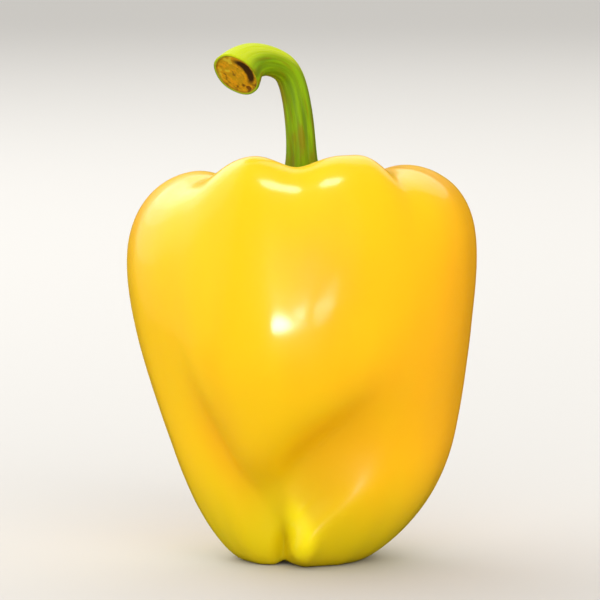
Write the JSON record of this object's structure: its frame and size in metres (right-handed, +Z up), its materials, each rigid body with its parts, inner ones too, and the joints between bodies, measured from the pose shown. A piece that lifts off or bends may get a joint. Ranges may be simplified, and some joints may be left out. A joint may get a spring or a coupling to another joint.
{
  "type": "bell pepper",
  "caption": "Yellow bell pepper standing on its lobe tips, with raised shoulders, creases between its lobes and a hooked green stem on a toothed calyx.",
  "frame": {"origin": "middle of the pepper's outline seen from above, on the surface that its lobe tips stand on", "axes": "+Z up from the lobe tips to the stem, -Y towards the front lobe, +X to the right seen from the front"},
  "size_m": [0.0822, 0.0806, 0.1222],
  "materials": {
    "yellow_skin": "smooth waxy skin, glossy, golden yellow",
    "green_stem": "ribbed olive green stalk, satin, with a dry corky cut end"
  },
  "bodies": {
    "root": {"fruit": "yellow_skin", "stem_and_calyx": "green_stem"}
  },
  "joints": []
}
